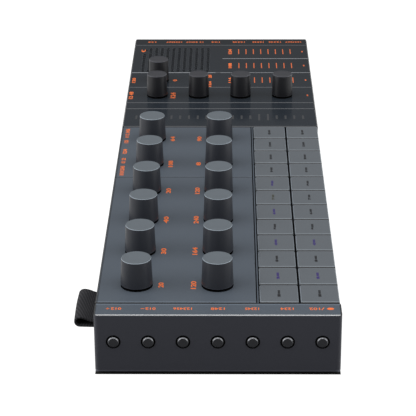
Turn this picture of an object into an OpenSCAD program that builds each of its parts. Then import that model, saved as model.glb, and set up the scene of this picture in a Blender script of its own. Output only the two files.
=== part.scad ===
// Desktop drum machine: a long, flat groove box with two rows of step keys,
// twelve track knobs, five effect knobs, a perforated speaker panel and small
// round buttons in both end faces.
//
// The player sits on the -Y side, +X runs from the left end to the right end
// and +Z is up. The origin lies on the table, under the middle of the whole
// box that holds the machine and its strap.

/* [Body] */
// Depth of the body from its front face to its back face
body_d = 97; // [96:1:110]
// Height of the case from its underside to the deck
body_h = 25.4; // [24.8:0.2:30]
// Height that the feet hold the case off the table
foot_h = 0.8; // [0.4:0.1:3]
// Thickness of the side and end walls
wall_t = 2; // [1.6:0.1:2.4]
// Thickness of the ledge that carries the panels
ledge_t = 2; // [1.4:0.1:2.6]
// Radius of the upright corners
corner_r = 2; // [1:0.25:3]
// Width of the bevel along the upper edges
edge_bevel = 0.5; // [0.4:0.1:1.2]
// Radius of the lower edges
foot_edge_r = 1; // [0.5:0.1:1.5]
// Thickness of the bottom cover
cover_t = 2; // [1.6:0.1:2.4]

/* [Layout along the body] */
// Width of the strip of markings at the left end
left_strip_w = 10.3; // [9:0.1:14]
// Distance between neighbouring step keys in a row
key_pitch = 16.15; // [15.5:0.05:18]
// Width of the strip of level lamps
lamp_strip_w = 25.3; // [20:0.1:32]
// Width of the touch slider
slider_w = 8.9; // [6:0.1:12]
// Width of each lane of the effect panel
lane_w = 23.4; // [22:0.1:28]
// Width of the strip of markings at the right end
right_strip_w = 11.1; // [10:0.1:16]

/* [Step keys] */
// Depth of a key from front to back
key_d = 15.3; // [14:0.1:15.6]
// Gap between neighbouring keys in a row
key_gap = 0.6; // [0.4:0.05:1]
// Gap between the two rows of keys
key_row_gap = 0.9; // [0.6:0.05:1.2]
// Distance from the front face of the body to the front of the keys
key_inset = 0.4; // [0.3:0.05:0.6]
// Thickness of the plate of a key
key_t = 2.4; // [2:0.1:3]
// Height that the keys stand above the deck
key_rise = 0.3; // [0:0.05:0.8]
// Width of the bevel round a key
key_bevel = 0.4; // [0.2:0.05:0.6]
// Width of the square post under a key
key_post_w = 7; // [6:0.1:8]
// Distance that a key travels
key_travel = 0.9; // [0.6:0.05:1.2]

/* [Track knobs] */
// Diameter of a track knob at its foot
knob_d = 13; // [12:0.1:15]
// Diameter of a track knob at its top
knob_top_d = 12.4; // [11:0.1:13]
// Distance from the back face to the back row of knobs
knob_back_inset = 15.75; // [14.5:0.05:19]
// Distance from the front edge of the track panel to the front row of knobs
knob_front_inset = 15.45; // [12:0.05:18]

/* [Effect knobs] */
// Diameter of an effect knob at its foot
effect_knob_d = 10.7; // [10:0.1:12]
// Diameter of an effect knob at its top
effect_knob_top_d = 10.2; // [9.4:0.1:10.4]
// Distance between neighbouring effect knobs
effect_knob_pitch = 21.6; // [18:0.1:22]
// Distance from the edge of a lane to the middle of its effect knobs
effect_knob_inset = 10.8; // [9:0.1:12]

/* [Knobs and encoders] */
// Height of the top of a knob above the deck
knob_top_h = 12.3; // [11:0.1:16]
// Gap between the panel and the foot of a knob
knob_gap = 1; // [0.8:0.1:2]
// Diameter of the shaft of an encoder
shaft_d = 6; // [5:0.1:6.4]
// Diameter of the threaded bush of an encoder
bush_d = 7; // [6.6:0.1:8]
// Side of the square housing of an encoder
encoder_w = 11.8; // [10:0.1:12.4]
// Height of the housing of an encoder
encoder_h = 6.8; // [5:0.1:7.5]

/* [End buttons] */
// Diameter of the cap of an end button
button_d = 4.4; // [3.6:0.1:5.4]
// Gap round the cap of an end button
button_gap = 0.35; // [0.2:0.05:0.5]
// Height that an end button stands out of the end face
button_rise = 0.7; // [0.6:0.1:1.4]
// Distance that an end button travels
button_travel = 0.5; // [0.3:0.05:0.6]
// Distance from the front and back faces to the first end buttons
button_inset = 7.55; // [7.2:0.05:10]
// Distance from the back face to the first button of the right end
right_back_inset = 9.6; // [7.2:0.1:12]
// Distance from the middle to the inner button of the back half of the right end
right_back_start = 2.9; // [2:0.1:5]
// Distance from the middle to the inner button of the front half of the right end
right_front_start = 10; // [6:0.1:12]
// Distance from the deck down to the middle of the end buttons
button_drop = 11.8; // [10.5:0.1:12.1]

/* [Panels] */
// Thickness of the track panel
panel_t = 2; // [1.6:0.1:2.4]
// Height that the effect panel stands above the deck
effect_panel_rise = 0.3; // [0.2:0.1:1]
// Half the width, and the depth, of the grooves between panel fields
groove_w = 0.45; // [0.3:0.05:0.7]
// Gap between neighbouring panels
panel_gap = 0.45; // [0.2:0.05:0.5]
// Diameter of the holes in the speaker grille
grille_hole_d = 2; // [1.2:0.1:2.4]
// Distance between the rows of grille holes
grille_row_pitch = 3.4; // [2.8:0.1:4]
// Distance between the holes in a row of the grille
grille_hole_pitch = 3.2; // [2.8:0.1:4]
// Diameter of the microphone hole
mic_hole_d = 1.6; // [1:0.1:2.2]

/* [Sockets] */
// Distance between neighbouring sockets in the back face
socket_pitch = 12.1; // [11:0.1:14]
// Bore of the audio sockets
socket_bore_d = 3.6; // [3.5:0.05:3.8]
// Depth of the bore of an audio socket
socket_bore_l = 11; // [10:0.5:14]
// Outer diameter of the round collar of an audio socket
socket_collar_d = 5.6; // [5.2:0.1:5.8]
// Distance that the power switch slides
switch_travel = 2; // [1:0.1:2.5]

/* [Strap] */
// Width of the strap
strap_w = 26; // [20:1:30]
// Distance that the strap stands out of the back face
strap_reach = 8.8; // [7:0.1:14]
// Thickness of the webbing
strap_t = 0.9; // [0.7:0.05:1]
// Outer height of the loop
strap_h = 4.6; // [3.6:0.1:6]
// Height of the slot that the strap comes out of
strap_slot_h = 3.2; // [3:0.1:3.6]
// Distance from the left end to the strap
strap_start = 10.2; // [9.8:0.1:24]
// Distance from the deck down to the middle of the strap
strap_drop = 8.5; // [7.4:0.1:12]

/* [Inside] */
// Distance from the deck down to the upper face of the circuit board
board_drop = 14.4; // [14.4:0.1:15]
// Thickness of the circuit board
board_t = 1.6; // [1:0.1:1.8]
// Length of the battery
battery_l = 92; // [60:1:100]
// Width of the battery
battery_w = 50; // [40:1:56]
// Thickness of the battery
battery_t = 6; // [4:0.1:6.2]
// Diameter of the speaker
speaker_d = 36; // [28:1:40]

/* [Hidden] */
$fn = 48;
clear = 0.15;          // sliding clearance round posts and covers
seat = 0.05;           // gap at a face that a piece rests against
bite = 0.5;            // how far a cut passes beyond the face that it opens

KEY_COLUMNS = 12;      // keys in a row
KEY_LINES = 2;         // rows of keys
KNOB_COLUMNS = 6;      // track knobs in a row
LANES = 4;             // lanes of the effect panel
GROUP_KEYS = 8;        // keys before the divider of the track panel
LEFT_BUTTONS = ["volume_up_button", "volume_down_button", "delete_button",
    "mute_button", "solo_button", "page_button", "play_button"];
RIGHT_BACK_BUTTONS = 4;
RIGHT_FRONT_BUTTONS = 4;

body_l = left_strip_w + KEY_COLUMNS * key_pitch + lamp_strip_w + slider_w + LANES * lane_w
    + right_strip_w;
left_x = -body_l / 2;
right_x = body_l / 2;
front_y = -body_d / 2;
back_y = body_d / 2;
mid_y = -strap_reach / 2;      // puts the middle of body and strap over the origin

under_z = foot_h;
deck_z = under_z + body_h;
effect_z = deck_z + effect_panel_rise;
ledge_z = deck_z - panel_t;
inner_top_z = ledge_z - ledge_t;
board_top_z = deck_z - board_drop;
board_z = board_top_z - board_t;
cover_top_z = under_z + cover_t;

keys_x = left_x + left_strip_w;
keys_end_x = keys_x + KEY_COLUMNS * key_pitch;
slider_x = keys_end_x + lamp_strip_w;
lanes_x = slider_x + slider_w;
right_strip_x = lanes_x + LANES * lane_w;
divider_x = keys_x + GROUP_KEYS * key_pitch;

key_w = key_pitch - key_gap;
key_line_pitch = key_d + key_row_gap;
key_front_y = front_y + key_inset;
key_back_y = key_front_y + key_line_pitch + key_d;
key_top_z = deck_z + key_rise;
key_under_z = key_top_z - key_t;
key_sill_z = key_under_z - key_travel - 0.4;
guide_t = 2;                               // plate that guides the key posts
guide_z = key_sill_z - guide_t - 2.3;
key_foot_z = board_top_z + 3;
key_barb_h = 1;                            // barbs that keep a key in its guide
key_barb_w = 0.6;

fence_t = 0.6;                             // rib between the keys and the track panel
fence_y = key_back_y + 0.5;
track_front_y = fence_y + fence_t + 0.3;
knob_columns_x = [for (i = [0 : KNOB_COLUMNS - 1]) keys_x + (2 * i + 1) * key_pitch];
knob_rows_y = [back_y - knob_back_inset, track_front_y + knob_front_inset];
track_knobs = [for (y = knob_rows_y) for (x = knob_columns_x) [x, y]];
effect_row_x = lanes_x + effect_knob_inset;
effect_knobs = concat(
    [for (i = [0 : 3]) [effect_row_x, knob_rows_y[0] - i * effect_knob_pitch]],
    [[effect_row_x + lane_w, knob_rows_y[0]]]);
knob_top_z = deck_z + knob_top_h;
knob_wall = 1.3;
knob_crown = 1.7;
knob_bevel = 0.25;
shaft_top_z = knob_top_z - knob_crown - 0.4;
encoder_top_z = board_top_z + encoder_h;
bush_top_z = deck_z - 0.4;
shaft_foot_z = board_top_z + 1.2;
shaft_clear = 0.04;
bush_hole_d = bush_d + 0.4;

button_z = deck_z - button_drop;
button_flange_d = button_d + 2;
button_flange_t = 0.9;
button_stem_d = 3;
button_stem_l = 2.2;                       // stem behind the flange
tact_w = 4.4;
tact_d = 3.4;
left_button_y = spread(len(LEFT_BUTTONS), back_y - button_inset, front_y + button_inset);
right_button_y = concat(
    spread(RIGHT_BACK_BUTTONS, back_y - right_back_inset, right_back_start),
    spread(RIGHT_FRONT_BUTTONS, -right_front_start, front_y + button_inset));

grille_x = lanes_x + 2 * lane_w;
grille_margin = 2.6;
grille_end_y = back_y - 6.3;               // first line of holes, next to the back face
grille_edge_y = -0.9;                      // where the grooves of the front lanes end
grille_front_y = grille_edge_y + 7;        // the holes end before this line
mic_x = right_strip_x - 9.4;
mic_y = grille_end_y - 0.5;
mic_field = 7;                             // length along X kept clear round the microphone
speaker_x = grille_x + lane_w;
speaker_y = back_y - wall_t - 1.2 - speaker_d / 2;
speaker_h = 7.5;

socket_x = [for (i = [0 : 4]) divider_x + 7.9 + i * socket_pitch];
socket_z = board_z - 3;
socket_w = 6;
socket_y = back_y - wall_t - 0.1;
switch_w = 3.4;
switch_h = 2;
switch_y = back_y - wall_t - 3;            // inner end of the switch slider
usb_w = 8.9;
usb_h = 3.2;
usb_l = 7.3;

strap_x = left_x + strap_start;
strap_z = deck_z - strap_drop;
strap_in = button_inset - tact_w / 2 - wall_t - 0.3;   // ends short of the nearest end switch
strap_foot_z = strap_z - strap_h / 2;
strap_ply_h = strap_slot_h - 2 * clear;    // outer height of the strap in its slot
strap_bar_z = strap_foot_z + strap_ply_h / 2;
strap_bar_d = strap_ply_h - 2 * strap_t - 0.2;

boss_d = 6.4;
boss_bore_d = 2.3;
screw_d = 2.2;
screw_head_d = 4.4;
screw_l = 9;
boss_y = back_y - 5.4;
key_boss_y = key_front_y + key_d + key_row_gap / 2;
bosses = concat(
    [for (n = [4, 8]) [keys_x + n * key_pitch, boss_y]],
    [for (n = [1, 6, 11]) [keys_x + n * key_pitch, key_boss_y]],
    [for (x = [slider_x - 7, right_strip_x - 3]) for (y = [boss_y, -boss_y]) [x, y]]);
foot_d = 10;
foot_sink = 0.8;
foot_places = [for (x = [left_x + 18, (left_x + right_x) / 2, right_x - 18])
    for (y = [front_y + 12, back_y - 12]) [x, y]];

case_grey = "#5c626b";
key_grey = "#73787d";
knob_grey = "#50545a";
panel_black = "#2c3034";
part_black = "#1d1e21";

// n places at equal distances from a to b
function spread(n, a, b) = [for (i = [0 : n - 1]) a + (b - a) * i / (n - 1)];
function key_name(i) = str("step_key_", i + 1);
function track_knob_name(i) = str("track_knob_", i + 1);
function effect_knob_name(i) = str("effect_knob_", i + 1);

// ---------------------------------------------------------------- shapes

// A rectangle from corner a to corner b with round corners
module round_rect(a, b, r) {
    translate([a[0] + r, a[1]]) square([b[0] - a[0] - 2 * r, b[1] - a[1]]);
    translate([a[0], a[1] + r]) square([b[0] - a[0], b[1] - a[1] - 2 * r]);
    for (x = [a[0] + r, b[0] - r]) for (y = [a[1] + r, b[1] - r])
        translate([x, y]) circle(r);
}

// A box from corner a to corner b
module block(a, b) {
    translate(a) cube(b - a);
}

// An outline in X and Z, carried along Y from y0 to y1
module along_y(y0, y1) {
    translate([0, y1, 0]) rotate([90, 0, 0]) linear_extrude(y1 - y0) children();
}

// An outline in Y and Z, carried along X from x0 to x1
module along_x(x0, x1) {
    translate([x0, 0, 0]) rotate([90, 0, 90]) linear_extrude(x1 - x0) children();
}

// The outline of a plate from u0 to u1 and z0 to z1, with bevels b0 and b1 on
// its two upper edges
module plate_outline(u0, u1, z0, z1, b0, b1) {
    polygon([[u0, z0], [u1, z0], [u1, z1 - b1], [u1 - b1, z1], [u0 + b0, z1], [u0, z1 - b0]]);
}

// A cylinder along X from x0 to x1
module rod_x(x0, x1, d) {
    translate([x0, 0, 0]) rotate([0, 90, 0]) cylinder(d = d, h = x1 - x0);
}

// A cylinder along Y from y0 to y1
module rod_y(y0, y1, d) {
    translate([0, y1, 0]) rotate([90, 0, 0]) cylinder(d = d, h = y1 - y0);
}

// A groove with sloping sides along Y at height z
module groove_y(x, y0, y1, z) {
    along_y(y0, y1) polygon([[x - groove_w, z + 0.01], [x, z - groove_w], [x + groove_w, z + 0.01]]);
}

// A groove with sloping sides along X at height z
module groove_x(y, x0, x1, z) {
    along_x(x0, x1) polygon([[y - groove_w, z + 0.01], [y, z - groove_w], [y + groove_w, z + 0.01]]);
}

// The outer form of the body up to the height top_z
module body_form(top_z) {
    lower = [[right_x - foot_edge_r, under_z], [left_x + foot_edge_r, under_z]];
    intersection() {
        translate([0, 0, under_z]) linear_extrude(top_z - under_z)
            round_rect([left_x, front_y], [right_x, back_y], corner_r);
        along_y(front_y, back_y) body_outline(left_x, right_x, top_z);
        along_x(left_x, right_x) body_outline(front_y, back_y, top_z);
    }
}

// Section of the body: bevels above and round edges below
module body_outline(u0, u1, top_z) {
    plate_outline(u0, u1, under_z + foot_edge_r, top_z, edge_bevel, edge_bevel);
    translate([u0 + foot_edge_r, under_z])
        square([u1 - u0 - 2 * foot_edge_r, foot_edge_r + 0.01]);
    for (u = [u0 + foot_edge_r, u1 - foot_edge_r])
        translate([u, under_z + foot_edge_r]) circle(foot_edge_r);
}

function key_column_x(i) = keys_x + (i + 0.5) * key_pitch;
function key_line_y(j) = key_front_y + key_d / 2 + j * key_line_pitch;

// ---------------------------------------------------------------- case

// Upper shell: four walls, the left strip, the ledge under the panels, the
// guide plate of the keys and the screw bosses
module top_case() {
    color(case_grey) difference() {
        union() {
            difference() {
                body_form(deck_z);
                case_hollow();
                panel_recess();
                key_well();
                panel_windows();
            }
            key_guide();
            for (p = bosses) case_boss(p);
            strap_bar();
        }
        for (p = bosses) translate([p[0], p[1], cover_top_z - bite])
            cylinder(d = boss_bore_d, h = screw_l + bite);
        for (y = left_button_y) translate([0, y, button_z])
            rod_x(left_x - bite, left_x + wall_t + bite, button_d + 2 * button_gap);
        for (y = right_button_y) translate([0, y, button_z])
            rod_x(right_x - wall_t - bite, right_x + bite, button_d + 2 * button_gap);
        back_openings();
    }
}

// Room for the electronics, open below
module case_hollow() {
    block([left_x + wall_t, front_y + wall_t, under_z - bite],
          [right_x - wall_t, back_y - wall_t, inner_top_z]);
}

// Space for the two panels above the ledge
module panel_recess() {
    block([keys_x, track_front_y - 0.4, ledge_z], [keys_end_x + bite, back_y + bite, deck_z + bite]);
    block([keys_end_x, front_y - bite, ledge_z], [right_x + bite, back_y + bite, deck_z + bite]);
}

// Space for the keys, down to the guide plate and out over the front wall
module key_well() {
    block([keys_x, front_y - bite, key_sill_z], [keys_end_x, fence_y, deck_z + bite]);
    block([keys_x, front_y + wall_t, guide_z], [keys_end_x, fence_y, deck_z + bite]);
}

// Windows in the ledge under the panels
module panel_windows() {
    rim = 3.5;
    for (k = concat(track_knobs, effect_knobs)) translate([k[0], k[1], inner_top_z - bite])
        cylinder(d = encoder_w + 1, h = ledge_t + 2 * bite);
    translate([speaker_x, speaker_y, inner_top_z - bite])
        cylinder(d = speaker_d - 2, h = ledge_t + 2 * bite);
    block([keys_end_x + rim, front_y + wall_t + rim, inner_top_z - bite],
          [slider_x - rim, back_y - wall_t - rim, ledge_z + bite]);
}

// Plate with a square hole for each key post, hung between the front wall and
// the web under the front edge of the track panel
module key_guide() {
    hole = key_post_w + 2 * clear;
    difference() {
        block([keys_x - 1, front_y + wall_t - 0.5, guide_z],
              [keys_end_x + 1, track_front_y + 1, guide_z + guide_t]);
        for (i = [0 : KEY_COLUMNS - 1]) for (j = [0 : KEY_LINES - 1])
            translate([key_column_x(i) - hole / 2, key_line_y(j) - hole / 2, guide_z - bite])
                cube([hole, hole, guide_t + 2 * bite]);
    }
    block([keys_x - 1, fence_y, guide_z], [keys_end_x, fence_y + fence_t, deck_z - 1.2]);
    block([keys_x - 1, fence_y, guide_z], [keys_end_x + 1, track_front_y + 1, ledge_z]);
    for (x = [keys_x - 1, keys_end_x])
        block([x, front_y + wall_t - 0.5, guide_z], [x + 1, fence_y + fence_t, inner_top_z + 0.5]);
}

// Boss for a cover screw, with a shoulder that the circuit board rests on
module case_boss(p) {
    top = p[1] < fence_y && p[0] < keys_end_x ? guide_z + 0.5 : inner_top_z + 0.5;
    translate([p[0], p[1], cover_top_z + seat])
        cylinder(d = boss_d, h = top - cover_top_z - seat);
    translate([p[0], p[1], board_top_z]) cylinder(d = boss_d + 1.6, h = top - board_top_z);
}

// Bar behind the back wall that the strap is looped round
module strap_bar() {
    y = back_y - wall_t - strap_in + strap_ply_h / 2;
    translate([0, y, strap_bar_z]) rod_x(strap_x - 1, strap_x + strap_w + 1, strap_bar_d);
    for (x = [strap_x - 2.2, strap_x + strap_w + 0.8])
        block([x, y - 1, strap_bar_z - 1], [x + 1.4, back_y - wall_t + 0.5, strap_bar_z + 1]);
}

// Openings in the back wall for the strap, the sockets and the power switch
module back_openings() {
    y0 = back_y - wall_t - bite;
    y1 = back_y + bite;
    block([strap_x - clear, y0, strap_foot_z - clear],
          [strap_x + strap_w + clear, y1, strap_foot_z - clear + strap_slot_h]);
    for (i = [0 : 2]) translate([socket_x[i], 0, socket_z]) rod_y(y0, y1, socket_collar_d + 0.8);
    along_y(y0, y1) translate([socket_x[3], socket_z])
        round_rect([-usb_w / 2 - 0.4, -usb_h / 2 - 0.4], [usb_w / 2 + 0.4, usb_h / 2 + 0.4], 1.6);
    block([socket_x[4] - switch_w / 2 - clear, y0, socket_z - switch_h / 2 - clear],
          [socket_x[4] + switch_w / 2 + switch_travel + clear, y1, socket_z + switch_h / 2 + clear]);
}

// Flat cover that closes the case from below
module bottom_cover() {
    inset = wall_t + clear;
    color(part_black) difference() {
        translate([0, 0, under_z]) linear_extrude(cover_t)
            round_rect([left_x + inset, front_y + inset], [right_x - inset, back_y - inset], 0.5);
        for (p = bosses) translate([p[0], p[1], under_z - bite]) {
            cylinder(d = screw_d + 0.4, h = cover_t + 2 * bite);
            cylinder(d = screw_head_d + 0.4, h = bite + 1.2);
        }
        for (p = foot_places) translate([p[0], p[1], under_z - bite])
            cylinder(d = foot_d + 0.3, h = bite + foot_sink);
    }
}

// Round rubber feet, sunk into the cover
module feet() {
    color("#141414") for (p = foot_places) translate([p[0], p[1], 0])
        rotate_extrude() polygon([[0, 0], [foot_d / 2 - 0.4, 0], [foot_d / 2, 0.4],
            [foot_d / 2, foot_h + foot_sink - seat], [0, foot_h + foot_sink - seat]]);
}

// Cover screws with flat heads and a cross recess
module cover_screws() {
    color("#2a2a2c") for (p = bosses) translate([p[0], p[1], under_z + 0.1]) difference() {
        union() {
            cylinder(d = screw_head_d, h = 1.1 - seat);
            cylinder(d = screw_d, h = screw_l);
        }
        for (a = [0, 90]) rotate([0, 0, a]) translate([-1.2, -0.25, -bite]) cube([2.4, 0.5, bite + 0.6]);
    }
}

// ---------------------------------------------------------------- panels

// Grey deck under the track knobs, with a groove between its two groups
module track_panel() {
    x0 = keys_x + panel_gap;
    x1 = keys_end_x - panel_gap / 2;
    color(case_grey) difference() {
        intersection() {
            along_y(track_front_y, back_y)
                plate_outline(x0, x1, ledge_z + seat, deck_z, groove_w, groove_w);
            along_x(x0, x1)
                plate_outline(track_front_y, back_y, ledge_z + seat, deck_z, groove_w / 2, edge_bevel);
        }
        groove_y(divider_x, track_front_y - bite, back_y + bite, deck_z);
        for (k = track_knobs) translate([k[0], k[1], ledge_z - bite])
            cylinder(d = bush_hole_d, h = panel_t + 2 * bite);
    }
}

// Black panel of the effect section: lamp strip, touch slider, four lanes and
// the speaker grille
module effect_panel() {
    x0 = keys_end_x + panel_gap / 2;
    color(panel_black) difference() {
        intersection() {
            translate([0, 0, ledge_z + seat]) linear_extrude(effect_z - ledge_z - seat)
                round_rect([x0 - 2 * corner_r, front_y], [right_x, back_y], corner_r);
            along_y(front_y, back_y)
                plate_outline(x0, right_x, ledge_z + seat, effect_z, edge_bevel, edge_bevel);
            along_x(x0, right_x)
                plate_outline(front_y, back_y, ledge_z + seat, effect_z, edge_bevel, edge_bevel);
        }
        effect_grooves();
        for (k = effect_knobs) translate([k[0], k[1], ledge_z - bite])
            cylinder(d = bush_hole_d, h = effect_z - ledge_z + 2 * bite);
        translate([0, 0, ledge_z - bite]) linear_extrude(effect_z - ledge_z + 2 * bite) {
            grille_holes();
            translate([mic_x, mic_y]) circle(d = mic_hole_d);
        }
    }
}

// Grooves that part the fields of the effect panel
module effect_grooves() {
    y0 = front_y - bite;
    y1 = back_y + bite;
    for (x = [slider_x, lanes_x, lanes_x + lane_w, grille_x, right_strip_x])
        groove_y(x, y0, y1, effect_z);
    groove_y(grille_x + lane_w, y0, grille_edge_y, effect_z);
}

// Rows of holes over the speaker, left out beside the microphone
module grille_holes() {
    rows = floor((right_strip_x - grille_x - 2 * grille_margin) / grille_row_pitch);
    columns = floor((grille_end_y - grille_front_y) / grille_hole_pitch);
    for (i = [0 : rows - 1]) for (j = [0 : columns]) {
        x = grille_x + grille_margin + i * grille_row_pitch;
        y = grille_end_y - j * grille_hole_pitch;
        if (j > 0 || abs(x - mic_x) > mic_field)
            translate([x, y]) circle(d = grille_hole_d, $fn = 16);
    }
}

// ---------------------------------------------------------------- controls

// A step key: bevelled plate on a square post with two barbs
module step_key(i, j) {
    x = key_column_x(i);
    y = key_line_y(j);
    post = key_post_w / 2;
    barb_z = guide_z - seat;
    color(key_grey) translate([x, y, 0]) {
        intersection() {
            along_y(-key_d / 2, key_d / 2)
                plate_outline(-key_w / 2, key_w / 2, key_under_z, key_top_z, key_bevel, key_bevel);
            along_x(-key_w / 2, key_w / 2)
                plate_outline(-key_d / 2, key_d / 2, key_under_z, key_top_z, key_bevel, key_bevel);
        }
        block([-post, -post, key_foot_z], [post, post, key_under_z + 0.1]);
        for (s = [-1, 1]) scale([s, 1, 1]) along_y(-1.5, 1.5)
            polygon([[post - 0.1, barb_z], [post + key_barb_w, barb_z],
                [post + key_barb_w, barb_z - 0.3], [post - 0.1, barb_z - key_barb_h]]);
    }
}

// The cap of a knob: a slightly tapered shell with a hub for the shaft, solid
// between the two where they come close together
module knob_cap(foot_d, top_d, foot_z) {
    r0 = foot_d / 2;
    r1 = top_d / 2;
    bore = shaft_d / 2 + shaft_clear;
    hub = shaft_d / 2 + 1;
    crown_z = knob_top_z - knob_crown;
    hollow = [[hub, foot_z + 0.4], [hub, crown_z], [r1 - knob_wall, crown_z],
        [r0 - knob_wall, foot_z]];
    rotate_extrude() polygon(concat(
        [[0, shaft_top_z + 0.1], [bore, shaft_top_z + 0.1], [bore, foot_z + 0.4]],
        r1 - knob_wall > hub + 0.4 ? hollow : [[hub, foot_z]],
        [[r0 - 0.2, foot_z], [r0, foot_z + 0.2], [r0, foot_z + 0.7],
         [r1, knob_top_z - knob_bevel], [r1 - knob_bevel, knob_top_z], [0, knob_top_z]]));
}

// The shaft of an encoder, with a flat along its upper part
module encoder_shaft(foot_z) {
    difference() {
        translate([0, 0, shaft_foot_z]) cylinder(d = shaft_d, h = shaft_top_z - shaft_foot_z);
        block([shaft_d / 2 - 1, -shaft_d, foot_z + 1], [shaft_d, shaft_d, shaft_top_z + 1]);
    }
}

module track_knob(i) {
    translate([track_knobs[i][0], track_knobs[i][1], 0]) {
        color(knob_grey) knob_cap(knob_d, knob_top_d, deck_z + knob_gap);
        color("silver") encoder_shaft(deck_z + knob_gap);
    }
}

module effect_knob(i) {
    translate([effect_knobs[i][0], effect_knobs[i][1], 0]) {
        color(part_black) knob_cap(effect_knob_d, effect_knob_top_d, effect_z + knob_gap);
        color("silver") encoder_shaft(effect_z + knob_gap);
    }
}

// An end button, built pointing along -X from the outer face of a wall at x = 0
module end_button() {
    r = button_d / 2;
    bevel = 0.4;
    back = wall_t + seat + button_flange_t;
    rotate([0, 90, 0]) rotate_extrude() polygon([
        [0, -button_rise], [r - bevel, -button_rise], [r, -button_rise + bevel],
        [r, wall_t + seat], [button_flange_d / 2, wall_t + seat], [button_flange_d / 2, back],
        [button_stem_d / 2, back], [button_stem_d / 2, back + button_stem_l],
        [0, back + button_stem_l]]);
}

module left_button(i) {
    color(case_grey) translate([left_x, left_button_y[i], button_z]) end_button();
}

module right_end_buttons() {
    color(part_black) for (y = right_button_y)
        translate([right_x, y, button_z]) rotate([0, 0, 180]) end_button();
}

// Slider of the power switch in its slot
module power_switch() {
    x = socket_x[4];
    y0 = switch_y;
    color(part_black) {
        block([x - switch_w / 2, y0, socket_z - switch_h / 2],
              [x + switch_w / 2, back_y + 0.6, socket_z + switch_h / 2]);
        block([x - switch_w / 2 - 1, y0, socket_z - switch_h / 2 - 0.8],
              [x + switch_w / 2 + 1, back_y - wall_t - seat - 1.2, socket_z + switch_h / 2 + 0.8]);
    }
}

// ---------------------------------------------------------------- inside

// Circuit board with its encoders, key switches, side switches and sockets
module circuit_board() {
    margin = wall_t + 0.5;
    end_margin = wall_t + seat + button_flange_t + button_travel + 0.3;
    hole = boss_d + 0.4;
    color("#22442f") difference() {
        block([left_x + end_margin, front_y + margin, board_z],
              [right_x - end_margin, back_y - margin, board_top_z - seat]);
        for (p = bosses) translate([p[0], p[1], board_z - bite]) cylinder(d = hole, h = board_t + 2 * bite);
        translate([speaker_x, speaker_y, board_z - bite])
            cylinder(d = speaker_d + 2, h = board_t + 2 * bite);
        strap_room();
    }
    color("#9a9c9f") for (k = concat(track_knobs, effect_knobs)) translate([k[0], k[1], 0]) encoder_body();
    color(part_black) {
        for (i = [0 : KEY_COLUMNS - 1]) for (j = [0 : KEY_LINES - 1])
            translate([key_column_x(i), key_line_y(j), board_top_z]) key_switch();
        for (y = left_button_y) translate([left_x + button_reach(), y, 0]) side_switch();
        for (y = right_button_y) translate([right_x - button_reach(), y, 0])
            rotate([0, 0, 180]) side_switch();
        for (i = [0 : 2]) translate([socket_x[i], 0, 0]) audio_socket();
    }
    color("silver") translate([socket_x[3], 0, 0]) usb_socket();
    color(part_black) block([socket_x[4] - 3.5, switch_y - 3.5, socket_z - 2],
        [socket_x[4] + 3.5 + switch_travel, switch_y - 0.2, board_z - seat]);
}

// Distance from an end face to the switch behind its button
function button_reach() = wall_t + seat + button_flange_t + button_stem_l + button_travel + seat;

// Cut-out of the board round the strap and its bar
module strap_room() {
    block([strap_x - 2.6, back_y - wall_t - strap_in - 0.5, board_z - bite],
          [strap_x + strap_w + 2.6, back_y, board_top_z + bite]);
}

// Housing and threaded bush of an encoder, with the bore of its shaft
module encoder_body() {
    w = encoder_w / 2;
    difference() {
        union() {
            block([-w, -w, board_top_z], [w, w, encoder_top_z]);
            translate([0, 0, encoder_top_z - 0.1]) cylinder(d = bush_d, h = bush_top_z - encoder_top_z + 0.1);
        }
        translate([0, 0, shaft_foot_z - 0.1])
            cylinder(d = shaft_d + 2 * shaft_clear, h = bush_top_z - shaft_foot_z + 1);
    }
}

// Low switch under a key
module key_switch() {
    h = key_foot_z - key_travel - seat - board_top_z;
    block([-2.3, -2.3, 0], [2.3, 2.3, h - 0.5]);
    cylinder(d = 2.4, h = h);
}

// Switch behind an end button, facing -X
module side_switch() {
    block([0, -tact_w / 2, board_top_z], [tact_d, tact_w / 2, button_z + tact_w / 2]);
}

// Audio socket under the board: block, round collar and bore
module audio_socket() {
    body_y = socket_y - socket_bore_l - 1;
    difference() {
        union() {
            block([-socket_w / 2, body_y, socket_z - 2.9],
                  [socket_w / 2, socket_y - 1.5, board_z - seat]);
            translate([0, 0, socket_z]) rod_y(socket_y - 2, socket_y, socket_collar_d);
        }
        translate([0, 0, socket_z]) rod_y(socket_y - socket_bore_l, socket_y + bite, socket_bore_d);
    }
}

// Data socket under the board: flat tube with a tongue
module usb_socket() {
    body_y = socket_y - usb_l;
    difference() {
        along_y(body_y, socket_y) translate([0, socket_z])
            round_rect([-usb_w / 2, -usb_h / 2], [usb_w / 2, usb_h / 2], 1.4);
        along_y(body_y + 1, socket_y + bite) translate([0, socket_z])
            round_rect([-usb_w / 2 + 0.3, -usb_h / 2 + 0.3], [usb_w / 2 - 0.3, usb_h / 2 - 0.3], 1.1);
    }
    block([-3.3, body_y + 0.5, socket_z - 0.35], [3.3, socket_y - 1, socket_z + 0.35]);
    block([-usb_w / 2 + 1, body_y, socket_z + usb_h / 2 - 0.1],
          [usb_w / 2 - 1, socket_y - 3, board_z - seat]);
}

// Flat rechargeable battery on the cover
module battery() {
    x = (left_x + divider_x) / 2;
    color("#6d7176") translate([x, 0, cover_top_z + seat])
        linear_extrude(battery_t)
            round_rect([-battery_l / 2, -battery_w / 2], [battery_l / 2, battery_w / 2], 2.5);
}

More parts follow.
